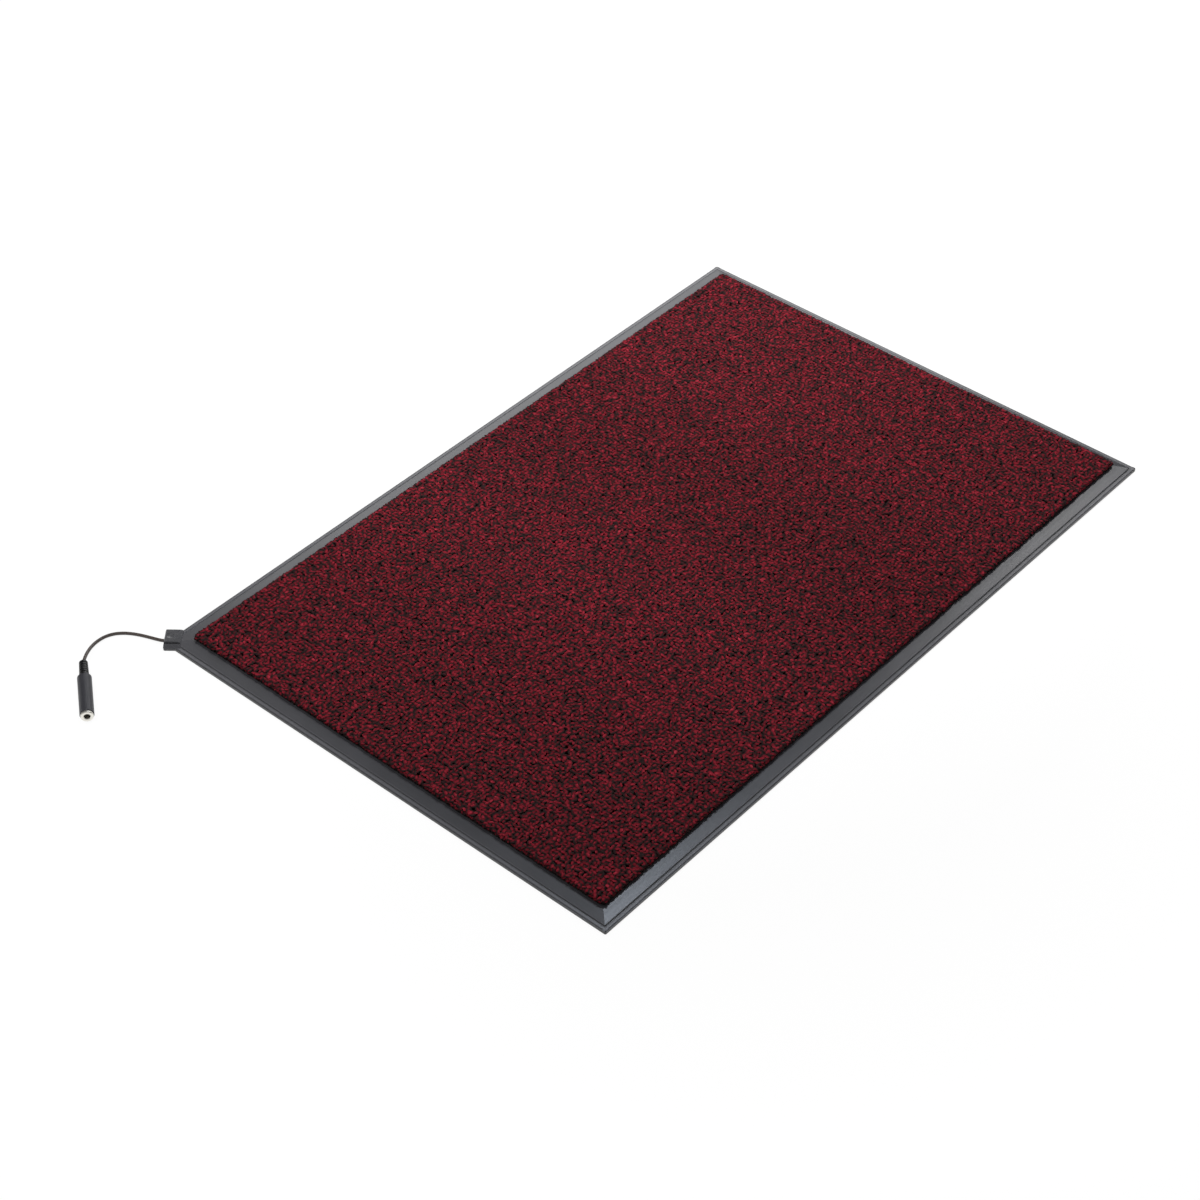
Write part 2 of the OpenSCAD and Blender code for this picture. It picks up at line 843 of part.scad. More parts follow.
module sleeve_core() {
    color(core_black)
        socket_frame()
            tube(socket_core_run(-1, leg_rear + eye_in, leg_z + leaf_t), core_d);
}

base_mat();
lower_contact();
spacer_foam();
upper_contact();
top_mat();
carpet_backing();
carpet_pile();
cable_lug();
lower_terminal();
upper_terminal();
lower_core();
upper_core();
lead();
lead_boot();
socket_sleeve();
socket_bush();
sleeve_tag();
lower_wafer();
tip_spring();
upper_wafer();
stack_rivet();
tip_core();
sleeve_core();
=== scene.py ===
# %% [markdown]
# # A carpeted safety mat
# A safety mat is a flat switch that lies on the floor. Two rubber sheets hold a pressure switch between
# them, a cut-pile carpet is bonded on top, and a thin lead leaves one corner and ends in an in-line jack
# socket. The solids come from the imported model, at their real size. This script gives each of them its
# finish, sows the carpet's tufts, lays the lead, and sets the camera and the light.

# %% Load the solids
import math
import random

import bmesh
import bpy
from mathutils import Matrix, Vector


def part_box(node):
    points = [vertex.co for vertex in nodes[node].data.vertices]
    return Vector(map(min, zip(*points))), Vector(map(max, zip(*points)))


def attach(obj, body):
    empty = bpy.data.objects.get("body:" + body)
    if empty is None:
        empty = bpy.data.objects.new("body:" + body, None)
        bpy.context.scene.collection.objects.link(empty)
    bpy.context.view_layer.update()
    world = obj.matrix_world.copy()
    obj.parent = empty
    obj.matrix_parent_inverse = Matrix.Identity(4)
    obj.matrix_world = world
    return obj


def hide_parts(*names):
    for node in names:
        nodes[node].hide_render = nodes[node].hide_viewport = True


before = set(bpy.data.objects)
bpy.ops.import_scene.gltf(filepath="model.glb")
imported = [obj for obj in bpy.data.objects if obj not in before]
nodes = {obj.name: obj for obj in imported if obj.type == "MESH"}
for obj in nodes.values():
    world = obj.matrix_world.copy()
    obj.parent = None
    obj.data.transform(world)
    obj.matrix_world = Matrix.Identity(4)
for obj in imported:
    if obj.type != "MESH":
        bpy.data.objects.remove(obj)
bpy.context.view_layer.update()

MM = 0.001
mat_low, mat_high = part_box("base_mat")
print("mat:", round(mat_high.x - mat_low.x, 4), "by", round(mat_high.y - mat_low.y, 4), "m")

# %% [markdown]
# ## Camera
# The mat's four corners in the photograph give the camera's place, its two angles and the length of its
# lens. A camera can be aimed with a constraint or with its own rotation. The rotation is used here,
# because it stays put when other views move the camera.

# %% Camera
CAMERA_PLACE = Vector((-1.66196, -1.34729, 1.83968))
CAMERA_AZIMUTH = math.radians(-48.99)
CAMERA_ELEVATION = math.radians(41.70)
LENS_MM = 78.95
SENSOR_MM = 36.0

camera_data = bpy.data.cameras.new("camera")
camera_data.lens = LENS_MM
camera_data.sensor_width = SENSOR_MM
camera = bpy.data.objects.new("camera", camera_data)
camera.location = CAMERA_PLACE
towards_camera = Vector((
    math.sin(CAMERA_AZIMUTH) * math.cos(CAMERA_ELEVATION),
    -math.cos(CAMERA_AZIMUTH) * math.cos(CAMERA_ELEVATION),
    math.sin(CAMERA_ELEVATION),
))
camera.rotation_euler = towards_camera.to_track_quat("Z", "Y").to_euler()
bpy.context.scene.collection.objects.link(camera)
bpy.context.scene.camera = camera
print("camera looks along", [round(v, 3) for v in -towards_camera])

# %% [markdown]
# ## Lead
# The lead is a round two-core cord of 3.6 mm. It comes straight out of the corner lug, drops to the floor,
# swings round in one easy bend and rises into the boot of the socket, which lies on the floor. The
# photograph shows it from end to end. A cord could be a swept mesh, but a curve with a round bevel keeps
# its exact length and stays smooth, so one Bezier spline runs through the same route as the solid that it
# stands for.

# %% Lead route
CORNER = Vector((mat_low.x, mat_high.y, 0.0))
LEAD_D = 3.6 * MM
LUG_ANGLE = math.radians(130)
LUG_SHIFT = 3 * MM
LUG_REACH = 1.5 * MM
LEAD_IN_LUG = 11 * MM
LEAD_STRAIGHT = 1.2 * MM
LEAD_EXIT_Z = 3.05 * MM
SOCKET_REAR = CORNER + Vector((-78.4, 36.3, 7.4)) * MM
SOCKET_ANGLE = math.radians(232)
LEAD_IN_BOOT = 26 * MM
ROUTE_MIDDLE_MM = [
    (-1.4, 8.2, 2.9), (-3.6, 15.1, 2.4), (-6.2, 23, 2), (-9.7, 31.2, 1.9), (-14, 38.9, 1.9),
    (-19.4, 45.8, 1.9), (-26.4, 51.4, 2), (-34.8, 54.4, 2.3), (-44.2, 54.4, 3), (-53.5, 52, 4.2),
    (-62.3, 47.8, 5.6), (-70, 42.9, 6.8), (-75.2, 39, 7.3),
]
lug_out = Vector((math.cos(LUG_ANGLE), math.sin(LUG_ANGLE), 0))
lug_side = Vector((math.sin(LUG_ANGLE), -math.cos(LUG_ANGLE), 0))
socket_out = Vector((math.cos(SOCKET_ANGLE), math.sin(SOCKET_ANGLE), 0))
lug_axis_point = CORNER + LUG_SHIFT * lug_side + Vector((0, 0, LEAD_EXIT_Z))
lead_route = [
    lug_axis_point + (LUG_REACH + step) * lug_out
    for step in (-LEAD_IN_LUG, -LEAD_IN_LUG / 2, LEAD_STRAIGHT)]
lead_route += [CORNER + Vector(point) * MM for point in ROUTE_MIDDLE_MM]
lead_route += [SOCKET_REAR + LEAD_IN_BOOT * part * socket_out for part in (0, 0.5, 1)]

# %% Lead curve
lead_curve = bpy.data.curves.new("lead_cord", "CURVE")
lead_curve.dimensions = "3D"
# Blender adds a point's radius to the curve's box, so the points hold the cord's radius and the bevel is one
lead_curve.bevel_depth = 1.0
lead_curve.bevel_resolution = 4
lead_curve.resolution_u = 8
lead_curve.use_fill_caps = True
spline = lead_curve.splines.new("BEZIER")
spline.bezier_points.add(len(lead_route) - 1)
for knot, place in zip(spline.bezier_points, lead_route):
    knot.co = place
    knot.radius = LEAD_D / 2
    knot.handle_left_type = "AUTO"
    knot.handle_right_type = "AUTO"
lead_cord = bpy.data.objects.new("lead_cord", lead_curve)
bpy.context.scene.collection.objects.link(lead_cord)
bpy.context.view_layer.update()
print("lead length, mm:", round(spline.calc_length() / MM, 1))

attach(lead_cord, "root")
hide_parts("lead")

# %% [markdown]
# ## Helpers for the finishes
# Every finish is a small tree of shader nodes round one Principled shader. Colours are written as they
# look on a screen, in sRGB, and turned to linear light by one function. A second function adds a node with
# its settings and links. Patterns read Object coordinates, which are metres here, so a pattern of so many
# millimetres needs a scale of one over that size.

# %% Finish helpers
def linear(hex_colour):
    """Turns an sRGB hex colour into linear red, green, blue and alpha."""
    parts = [int(hex_colour[i:i + 2], 16) / 255 for i in (1, 3, 5)]
    return [c / 12.92 if c <= 0.04045 else ((c + 0.055) / 1.055) ** 2.4 for c in parts] + [1.0]


def per_mm(size):
    """The texture scale at which one step of a pattern is this many millimetres."""
    return 1 / (size * MM)


def add(tree, kind, inputs=None, **settings):
    """Adds a node, gives it its settings, and fills its inputs with values or with other nodes' outputs."""
    made = tree.nodes.new(kind)
    for name, value in settings.items():
        setattr(made, name, value)
    for name, value in (inputs or {}).items():
        if isinstance(value, bpy.types.NodeSocket):
            tree.links.new(value, made.inputs[name])
        else:
            made.inputs[name].default_value = value
    return made


def new_finish(name, **constants):
    """Starts a material: returns it, its tree, its shader and its Object coordinates."""
    material = bpy.data.materials.new(name)
    material.use_nodes = True
    tree = material.node_tree
    shader = tree.nodes["Principled BSDF"]
    for socket, value in constants.items():
        shader.inputs[socket.replace("_", " ")].default_value = value
    place = add(tree, "ShaderNodeTexCoord").outputs["Object"]
    return material, tree, shader, place


def blend_colours(tree, share, low, high):
    """A colour ramp between two sRGB colours."""
    ramp = add(tree, "ShaderNodeValToRGB", {"Fac": share})
    ramp.color_ramp.elements[0].color = linear(low)
    ramp.color_ramp.elements[1].color = linear(high)
    return ramp


def dress(material, *names):
    """Gives CAD nodes a finish."""
    for name in names:
        mesh = nodes[name].data
        mesh.materials.clear()
        mesh.materials.append(material)
    print(material.name, "on", ", ".join(names))


print("half of screen white is", round(linear("#808080")[0], 3), "of its light")

# %% [markdown]
# ## Rubber sheets and lug
# The base sheet and the upper sheet are moulded nitrile rubber, a satin dark grey. Rubber that was drawn
# through rollers keeps faint lines along its edges, and a thin bloom makes it paler in soft patches. The
# bead's outer flank is painted dark as painted shade, and its crest is painted pale as a painted highlight.
# The groove inside the bead is painted paler, for dust that settles there and as painted light that lifts
# its shade. An image could hold these marks, but all of them follow the nearest edge of the mat, so they
# are worked out from the distance to that edge, which turns the corners with it. The lug is PVC from a
# smoother mould, so it takes the same finish without the painted bead and the groove's paler colour.

# %% Marks along the edge
# Distances from the edge of the mat
FLANK_TO = 1.5 * MM
CREST_TO = 3.4 * MM
GROOVE_FROM = 4.4 * MM
GROOVE_TO = 6.2 * MM
# Painted shade on the bead's flank and a painted highlight on its crest
FLANK_PAINTED_SHADE_COLOUR = "#141415"
CREST_PAINTED_HIGHLIGHT_COLOUR = "#56565a"
# Paler colour in the groove: dust and painted light
GROOVE_DUST_AND_LIGHT_COLOUR = "#6a6a6c"


def edge_distance(tree, place):
    """How far a point lies inside the nearest edge of the mat, in metres."""
    axes = add(tree, "ShaderNodeSeparateXYZ", {0: place}).outputs
    gaps = []
    for axis, half in (("X", mat_high.x), ("Y", mat_high.y)):
        size = add(tree, "ShaderNodeMath", {0: axes[axis]}, operation="ABSOLUTE").outputs[0]
        gaps.append(add(tree, "ShaderNodeMath", {0: half, 1: size}, operation="SUBTRACT").outputs[0])
    return add(tree, "ShaderNodeMath", {0: gaps[0], 1: gaps[1]}, operation="MINIMUM").outputs[0]


def bead_light_and_shade(tree, edge, colour, groove_dust_and_light, bead_painted_shading):
    """Paints onto a colour: dusting and light in the groove, shade on the bead's flank, a highlight on its
    crest.
    """
    # The groove is painted paler: dust, and painted light that lifts the groove's shade
    inside = add(tree, "ShaderNodeMath", {0: edge, 1: GROOVE_FROM}, operation="GREATER_THAN").outputs[0]
    outside = add(tree, "ShaderNodeMath", {0: edge, 1: GROOVE_TO}, operation="LESS_THAN").outputs[0]
    groove = add(tree, "ShaderNodeMath", {0: inside, 1: outside}, operation="MULTIPLY").outputs[0]
    dust_and_light = add(tree, "ShaderNodeMath", {0: groove, 1: groove_dust_and_light}, operation="MULTIPLY").outputs[0]
    dusted_and_lit = add(tree, "ShaderNodeMix", {
        "Factor": dust_and_light, 6: colour, 7: linear(GROOVE_DUST_AND_LIGHT_COLOUR)}, data_type="RGBA")
    # The outer flank of the bead is painted dark: painted shade
    flank = add(tree, "ShaderNodeMapRange", {
        "Value": edge, "From Min": FLANK_TO / 2, "From Max": FLANK_TO, "To Min": bead_painted_shading, "To Max": 0})
    flank_shaded = add(tree, "ShaderNodeMix", {
        "Factor": flank.outputs[0], 6: dusted_and_lit.outputs[2], 7: linear(FLANK_PAINTED_SHADE_COLOUR)}, data_type="RGBA")
    # The crest of the bead is painted pale: a painted highlight
    rise = add(tree, "ShaderNodeMapRange", {
        "Value": edge, "From Min": FLANK_TO / 2, "From Max": FLANK_TO, "To Min": 0, "To Max": bead_painted_shading})
    fall = add(tree, "ShaderNodeMapRange", {
        "Value": edge, "From Min": CREST_TO, "From Max": GROOVE_FROM, "To Min": 1, "To Max": 0})
    crest = add(tree, "ShaderNodeMath", {0: rise.outputs[0], 1: fall.outputs[0]}, operation="MULTIPLY")
    crest_lit = add(tree, "ShaderNodeMix", {
        "Factor": crest.outputs[0], 6: flank_shaded.outputs[2], 7: linear(CREST_PAINTED_HIGHLIGHT_COLOUR)}, data_type="RGBA")
    return crest_lit.outputs[2]


print("crest of the bead:", FLANK_TO / MM, "to", CREST_TO / MM, "mm inside the edge")

# %% Rubber finish
ROLLER_LINE_MM = 3.4
BLOOM_MM = 70
WAVE_MM = 14
WAVE_DEPTH = 0.12 * MM
WAVE_STRENGTH = 0.3
# Share of the roller lines in the shade, and how far they change the roughness
LINE_SHARE = 0.06
STREAK = 0.03
# The part of the noise's range that is spread over the whole shade or gloss
NOISE_LOW = 0.3
NOISE_HIGH = 0.7


def moulded_rubber(name, dark, pale, roughness, groove_dust_and_light, bead_painted_shading):
    """Moulded rubber: bloom in patches, streaks of gloss along the edges, slight waves in the face."""
    material, tree, shader, place = new_finish(name, Roughness=roughness, IOR=1.52)
    edge = edge_distance(tree, place)
    lines = add(tree, "ShaderNodeTexNoise", {
        "W": edge, "Scale": per_mm(ROLLER_LINE_MM), "Detail": 2.0}, noise_dimensions="1D")
    bloom = add(tree, "ShaderNodeTexNoise", {"Vector": place, "Scale": per_mm(BLOOM_MM), "Detail": 4.0})
    waves = add(tree, "ShaderNodeTexNoise", {"Vector": place, "Scale": per_mm(WAVE_MM), "Detail": 2.0})
    share = add(tree, "ShaderNodeMix", {
        "Factor": LINE_SHARE, 2: bloom.outputs["Fac"], 3: lines.outputs["Fac"]}, data_type="FLOAT")
    colour = blend_colours(tree, share.outputs[0], dark, pale)
    colour.color_ramp.elements[0].position = NOISE_LOW
    colour.color_ramp.elements[1].position = NOISE_HIGH
    # Painted shade on the bead's flank, a painted highlight on its crest, and dust with painted light in the
    # groove
    painted_edge = bead_light_and_shade(tree, edge, colour.outputs["Color"], groove_dust_and_light, bead_painted_shading)
    gloss = add(tree, "ShaderNodeMapRange", {
        "Value": lines.outputs["Fac"], "From Min": NOISE_LOW, "From Max": NOISE_HIGH,
        "To Min": roughness - STREAK, "To Max": roughness + STREAK})
    bump = add(tree, "ShaderNodeBump", {
        "Strength": WAVE_STRENGTH, "Distance": WAVE_DEPTH, "Height": waves.outputs["Fac"]})
    tree.links.new(painted_edge, shader.inputs["Base Color"])
    tree.links.new(gloss.outputs[0], shader.inputs["Roughness"])
    tree.links.new(bump.outputs["Normal"], shader.inputs["Normal"])
    return material


# Nitrile rubber: dark grey, with a broad soft sheen on each slope of the border
# Its bead takes painted shade and a painted highlight, and its groove dust and painted light
sheet_rubber = moulded_rubber(
    "satin_nitrile_rubber", "#323235", "#3b3b3f", 0.3, groove_dust_and_light=0.25, bead_painted_shading=0.65)
# Moulded PVC: the same grey, with a slightly clearer sheen
# The lug takes none of the painted marks of the bead and the groove
lug_rubber = moulded_rubber("smooth_moulded_pvc", "#333336", "#3c3c3f", 0.26, groove_dust_and_light=0, bead_painted_shading=0)
dress(sheet_rubber, "base_mat", "top_mat")
dress(lug_rubber, "cable_lug")

# %% [markdown]
# ## Cut-pile carpet
# The carpet is cut pile: short ends of nylon yarn stand upright in rows on a woven cloth, close enough to
# hide it. A red and a black yarn are twisted together, so most cut ends show both, and that gives the fine
# mottle. Hair particles or a bumped slab could stand for it, but the ragged edge of the pile shows at the
# border, so each tuft is a small closed mesh. A tuft has few faces, because there are tens of thousands,
# and a few different tufts are enough when each copy is turned and leaned by chance.

# %% Tuft shapes
PILE_LOW, PILE_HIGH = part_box("carpet_pile")
TUFT_SEED = 11
TUFT_HEIGHT = 5.2 * MM
TUFT_SIDES = 6
TUFT_KINDS = 8
TUFT_FOOT_R = 1.3 * MM
TUFT_TOP_R = 2.6 * MM
TUFT_SHOULDER = 0.88
TUFT_TWIST = math.radians(40)
# The cut end is longer one way, because the two yarns lie side by side
TUFT_LONG = 1.3
TUFT_SHORT = 0.85
TUFT_CROWN = 0.5 * MM
TUFT_RAGGED = 0.28 * MM
# How far the yarn number swings from the middle of a tuft to either side, and how far it falls to the
# rim, where the darker colour is painted shade
YARN_SWING = 0.4
YARN_RIM_SHADE = 0.22
# A tuft's rings of vertices, and where they lie round the middle of its cell of the texture map
FOOT, RIM, CROWN = range(3)
MAP_NAME = "OFBake"
MAP_MIDDLE = 0.5
MAP_REACH = {FOOT: 0.46, RIM: 0.3, CROWN: 0.0}
# The underside of the foot has its own small place in a corner of the cell
MAP_UNDER_MIDDLE = 0.93
MAP_UNDER_REACH = 0.05


def cut_tuft(name, chance):
    """One tuft, its foot at the origin: a ring of yarn drawn up, swollen and twisted, with a ragged end."""
    bm = bmesh.new()
    yarn = bm.verts.layers.float.new("yarn")
    chart = bm.loops.layers.uv.new(MAP_NAME)
    foot = bmesh.ops.create_circle(bm, segments=TUFT_SIDES, radius=TUFT_FOOT_R, cap_ends=True)["verts"]
    ring_of = {v: FOOT for v in foot}
    grown = bmesh.ops.extrude_face_region(bm, geom=bm.faces[:], use_keep_orig=True)["geom"]
    rim = [g for g in grown if isinstance(g, bmesh.types.BMVert)]
    top = [g for g in grown if isinstance(g, bmesh.types.BMFace)]
    bmesh.ops.translate(bm, verts=rim, vec=(0, 0, TUFT_SHOULDER * TUFT_HEIGHT))
    bmesh.ops.rotate(bm, verts=rim, cent=(0, 0, 0), matrix=Matrix.Rotation(TUFT_TWIST, 3, "Z"))
    swell = TUFT_TOP_R / TUFT_FOOT_R
    bmesh.ops.scale(bm, verts=rim, vec=(swell * TUFT_LONG, swell * TUFT_SHORT, 1))
    ring_of.update((v, RIM) for v in rim)
    crown = bmesh.ops.poke(bm, faces=top, offset=0)["verts"]
    ring_of.update((v, CROWN) for v in crown)
    bmesh.ops.translate(bm, verts=crown, vec=(0, 0, TUFT_CROWN))
    for v in rim + crown:
        v.co += Vector([chance.uniform(-1, 1) * TUFT_RAGGED for _ in range(3)])
    bmesh.ops.recalc_face_normals(bm, faces=bm.faces[:])
    for v in bm.verts:
        # The rim takes a lower yarn number and so a darker colour: painted shade
        fall = 0 if ring_of[v] == CROWN else YARN_RIM_SHADE
        v[yarn] = YARN_SWING * v.co.y / (TUFT_TOP_R * TUFT_SHORT) - fall
    for face in bm.faces:
        under = all(ring_of[v] == FOOT for v in face.verts)
        face.smooth = any(ring_of[v] == FOOT for v in face.verts) and not under
        middle = MAP_UNDER_MIDDLE if under else MAP_MIDDLE
        for loop in face.loops:
            turn = math.atan2(loop.vert.co.y, loop.vert.co.x)
            reach = MAP_UNDER_REACH if under else MAP_REACH[ring_of[loop.vert]]
            loop[chart].uv = (middle + reach * math.cos(turn), middle + reach * math.sin(turn))
    mesh = bpy.data.meshes.new(name)
    bm.to_mesh(mesh)
    bm.free()
    return mesh


tuft_chance = random.Random(TUFT_SEED)
tufts = [cut_tuft(f"tuft_{k}", tuft_chance) for k in range(TUFT_KINDS)]
tuft_triangles = sum(len(face.vertices) - 2 for face in tufts[0].polygons)
print("tuft:", len(tufts[0].vertices), "vertices,", tuft_triangles, "triangles")

# %% [markdown]
# The yarn is one finish for both colours. Each tuft carries a number, called yarn, which swings from one
# side of it to the other and falls towards its rim, where the darker colour is painted shade. The colour
# follows that number: black below the split, dark red to full red above it. Nylon yarn is dull, and it is
# painted darker towards the foot, as painted shade where little light gets in. Two soft bands across the
# middle are painted light and painted shade, as a mat that was rolled up shows them: in one the pile leans
# to the light and is painted paler, and in the other it leans away and is painted darker. Leaning the tufts
# there would open gaps between them, so the finish holds the bands.

# %% Yarn finish
# Real fibres are far finer, and are drawn as coarse as they need to be to show
FIBRE_MM = 0.45
FIBRE_DEPTH = 0.2 * MM
FIBRE_STRENGTH = 0.5
# Share of the colour that is left in a dark and in a pale fibre, and, as painted shade and light, at the
# foot and at the cut end
FLECK_DARK = 0.85
FLECK_PALE = 1.15
FOOT_SHADE = 0.25
TIP_SHADE = 1.05
# Painted shade is deepest up to this height above the foot of the pile
SHADED_FOOT_HEIGHT = 2.8 * MM
# Two bands of painted light and shade: their width, and the share of colour they add or take away
ROLL_BAND = 240 * MM
BAND_PAINTED_SHADE = 0.11
YARN_STOPS = [
    (0.00, "#221a1a"), (0.36, "#2a1c1c"), (0.55, "#5a151e"), (0.78, "#821f2b"), (1.00, "#9e2e3c"),
]


def painted_yarn_shade(tree, place, fleck):
    """Share of colour kept: flecks, painted shade at the foot, painted light and shade in two bands."""
    axes = add(tree, "ShaderNodeSeparateXYZ", {0: place}).outputs
    # Painted shade: darker towards the foot of the pile, a little paler at the cut end
    depth = add(tree, "ShaderNodeMapRange", {
        "Value": axes["Z"], "From Min": PILE_LOW.z + SHADED_FOOT_HEIGHT, "From Max": PILE_HIGH.z,
        "To Min": FOOT_SHADE, "To Max": TIP_SHADE})
    # Painted light and shade in two bands across the pile
    across = add(tree, "ShaderNodeMapRange", {
        "Value": axes["X"], "From Min": -ROLL_BAND, "From Max": ROLL_BAND,
        "To Min": -math.pi, "To Max": math.pi})
    wave = add(tree, "ShaderNodeMath", {0: across.outputs[0]}, operation="SINE")
    band_light = add(tree, "ShaderNodeMath", {
        0: wave.outputs[0], 1: -BAND_PAINTED_SHADE, 2: 1.0}, operation="MULTIPLY_ADD")
    shade = add(tree, "ShaderNodeMath", {0: depth.outputs[0], 1: fleck}, operation="MULTIPLY")
    return add(tree, "ShaderNodeMath", {
        0: shade.outputs[0], 1: band_light.outputs[0]}, operation="MULTIPLY").outputs[0]


def cut_pile_nylon():
    """Red and black nylon yarn: dull, with fine fibres and hardly any highlight."""
    material, tree, shader, place = new_finish(
        "cut_pile_nylon_yarn", Roughness=0.85, IOR=1.5, Specular_IOR_Level=0.1)
    yarn = add(tree, "ShaderNodeAttribute", attribute_name="yarn").outputs["Fac"]
    ramp = add(tree, "ShaderNodeValToRGB", {"Fac": yarn})
    stops = ramp.color_ramp.elements
    while len(stops) < len(YARN_STOPS):
        stops.new(0.5)
    for stop, (position, colour) in zip(stops, YARN_STOPS):
        stop.position = position
        stop.color = linear(colour)
    fibres = add(tree, "ShaderNodeTexNoise", {
        "Vector": place, "Scale": per_mm(FIBRE_MM), "Detail": 2.0}).outputs["Fac"]
    fleck = add(tree, "ShaderNodeMapRange", {
        "Value": fibres, "To Min": FLECK_DARK, "To Max": FLECK_PALE}).outputs[0]
    shaded = add(tree, "ShaderNodeMix", {
        "Factor": 1.0, 6: ramp.outputs["Color"], 7: painted_yarn_shade(tree, place, fleck)},
        data_type="RGBA", blend_type="MULTIPLY")
    bump = add(tree, "ShaderNodeBump", {
        "Strength": FIBRE_STRENGTH, "Distance": FIBRE_DEPTH, "Height": fibres})
    tree.links.new(shaded.outputs[2], shader.inputs["Base Color"])
    tree.links.new(bump.outputs["Normal"], shader.inputs["Normal"])
    return material


pile_yarn = cut_pile_nylon()
print("yarn finish:", pile_yarn.name, "with", len(YARN_STOPS), "colours")

# %% [markdown]
# Now the tufts are sown. The rows run along the mat at the solid's own gauge, and the stitches along a row
# are about as far apart. Every tuft is turned, leaned and moved a little by chance. The carpet was cut to
# size, so a closer row of smaller, lower tufts runs round its edge and keeps that edge clean. Instances
# would be lighter, but each tuft has its own share of red, so the copies are joined. They are sown in
# bands of rows, so that no mesh is too large to handle.

# %% Places of the tufts
ROW_GAUGE = 4 * MM
STITCH = 4.1 * MM
FIELD_IN = 3.6 * MM
EDGE_IN = 1.5 * MM
EDGE_STITCH = 2.6 * MM
CORNER_R = 5 * MM
CORNER_STEPS = 4
pile_size = PILE_HIGH - PILE_LOW
pile_middle = (PILE_HIGH + PILE_LOW) / 2


def spread(low, high, pitch):
    """Even places between two ends, about a pitch apart."""
    count = round((high - low) / pitch)
    return [low + (high - low) * i / count for i in range(count + 1)]


def edge_places():
    """Places round the carpet, a little inside its rounded outline: one side and one corner at a time."""
    places = []
    bend = CORNER_R - EDGE_IN
    for quarter in range(4):
        along, across = (pile_size.x, pile_size.y) if quarter % 2 == 0 else (pile_size.y, pile_size.x)
        run = along / 2 - CORNER_R
        reach = across / 2 - EDGE_IN
        side = [Vector((step, -reach)) for step in spread(-run, run, EDGE_STITCH)]
        for step in range(1, CORNER_STEPS):
            angle = math.pi / 2 * step / CORNER_STEPS
            side.append(Vector((run + bend * math.sin(angle), -reach + bend - bend * math.cos(angle))))
        turn = Matrix.Rotation(math.pi / 2 * quarter, 2)
        places += [pile_middle.xy + turn @ place for place in side]
    return places


rows = spread(PILE_LOW.y + FIELD_IN, PILE_HIGH.y - FIELD_IN, ROW_GAUGE)
stitches = spread(PILE_LOW.x + FIELD_IN, PILE_HIGH.x - FIELD_IN, STITCH)
print("rows:", len(rows), "stitches in a row:", len(stitches), "tufts round the edge:", len(edge_places()))

# %% Sow the tufts
BANDS = 5
SOW_SEED = 7
SCATTER = 0.45 * MM
LEAN = math.radians(7)
SHORTEST = 0.93
TALLEST = 1.03
EDGE_LOOSE = 0.9
EDGE_WIDTH = 0.78
EDGE_HEIGHT = 0.76
# Share of red in the cut ends, and how much it changes from tuft to tuft
RED_SHARE = 0.59
RED_CHANGE = 0.095
sow_chance = random.Random(SOW_SEED)


def sow(name, places, loose=1.0, width=1.0, height=1.0):
    """Joins copies of tufts in one mesh, with these shares of the full scatter and leaning, width, height.
    """
    bm = bmesh.new()
    for x, y in places:
        tuft = sow_chance.choice(tufts).copy()
        tuft.transform(
            Matrix.Translation((
                x + sow_chance.uniform(-SCATTER, SCATTER) * loose,
                y + sow_chance.uniform(-SCATTER, SCATTER) * loose,
                PILE_LOW.z))
            @ Matrix.Rotation(sow_chance.gauss(0, LEAN) * loose, 4, "Y")
            @ Matrix.Rotation(sow_chance.gauss(0, LEAN) * loose, 4, "X")
            @ Matrix.Rotation(sow_chance.uniform(0, math.tau), 4, "Z")
            @ Matrix.Diagonal((width, width, height * sow_chance.uniform(SHORTEST, TALLEST), 1)))
        tint = sow_chance.gauss(RED_SHARE, RED_CHANGE)
        yarn = tuft.attributes["yarn"].data
        yarn.foreach_set("value", [tint + part.value for part in yarn])
        bm.from_mesh(tuft)
        bpy.data.meshes.remove(tuft)
    # Every tuft gets a cell of its own on the texture map
    cells = math.ceil(math.sqrt(len(places)))
    chart = bm.loops.layers.uv[MAP_NAME]
    faces_each = len(bm.faces) // len(places)
    for number, face in enumerate(bm.faces):
        across, down = divmod(number // faces_each, cells)
        for loop in face.loops:
            loop[chart].uv = ((loop[chart].uv.x + across) / cells, (loop[chart].uv.y + down) / cells)
    mesh = bpy.data.meshes.new(name)
    bm.to_mesh(mesh)
    bm.free()
    mesh.materials.append(pile_yarn)
    sown = bpy.data.objects.new(name, mesh)
    bpy.context.scene.collection.objects.link(sown)
    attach(sown, "root")
    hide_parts("carpet_pile")
    print(name, "has", len(places), "tufts,", len(places) * tuft_triangles, "triangles")


for band in range(BANDS):
    own_rows = rows[len(rows) * band // BANDS:len(rows) * (band + 1) // BANDS]
    sow(f"pile_rows_{band + 1}", [(x, y) for y in own_rows for x in stitches])
sow("pile_edge", edge_places(), EDGE_LOOSE, EDGE_WIDTH, EDGE_HEIGHT)

# %% [markdown]
# ## Plastic, metal and the pieces inside
# The socket's sleeve is moulded ABS with a fine matt spark texture, its boot and the lead are softer PVC,
# and the bush is brass with a nickel plate. The pieces inside are plain trade materials: foil, foam, brass
# strip and board. Each could have a tree of its own, but they differ only in colour, gloss and grain, so
# one function makes every plastic and another every metal.

# %% Plastic finish
CLOUD_MM = 6
GRAIN_STRENGTH = 0.4


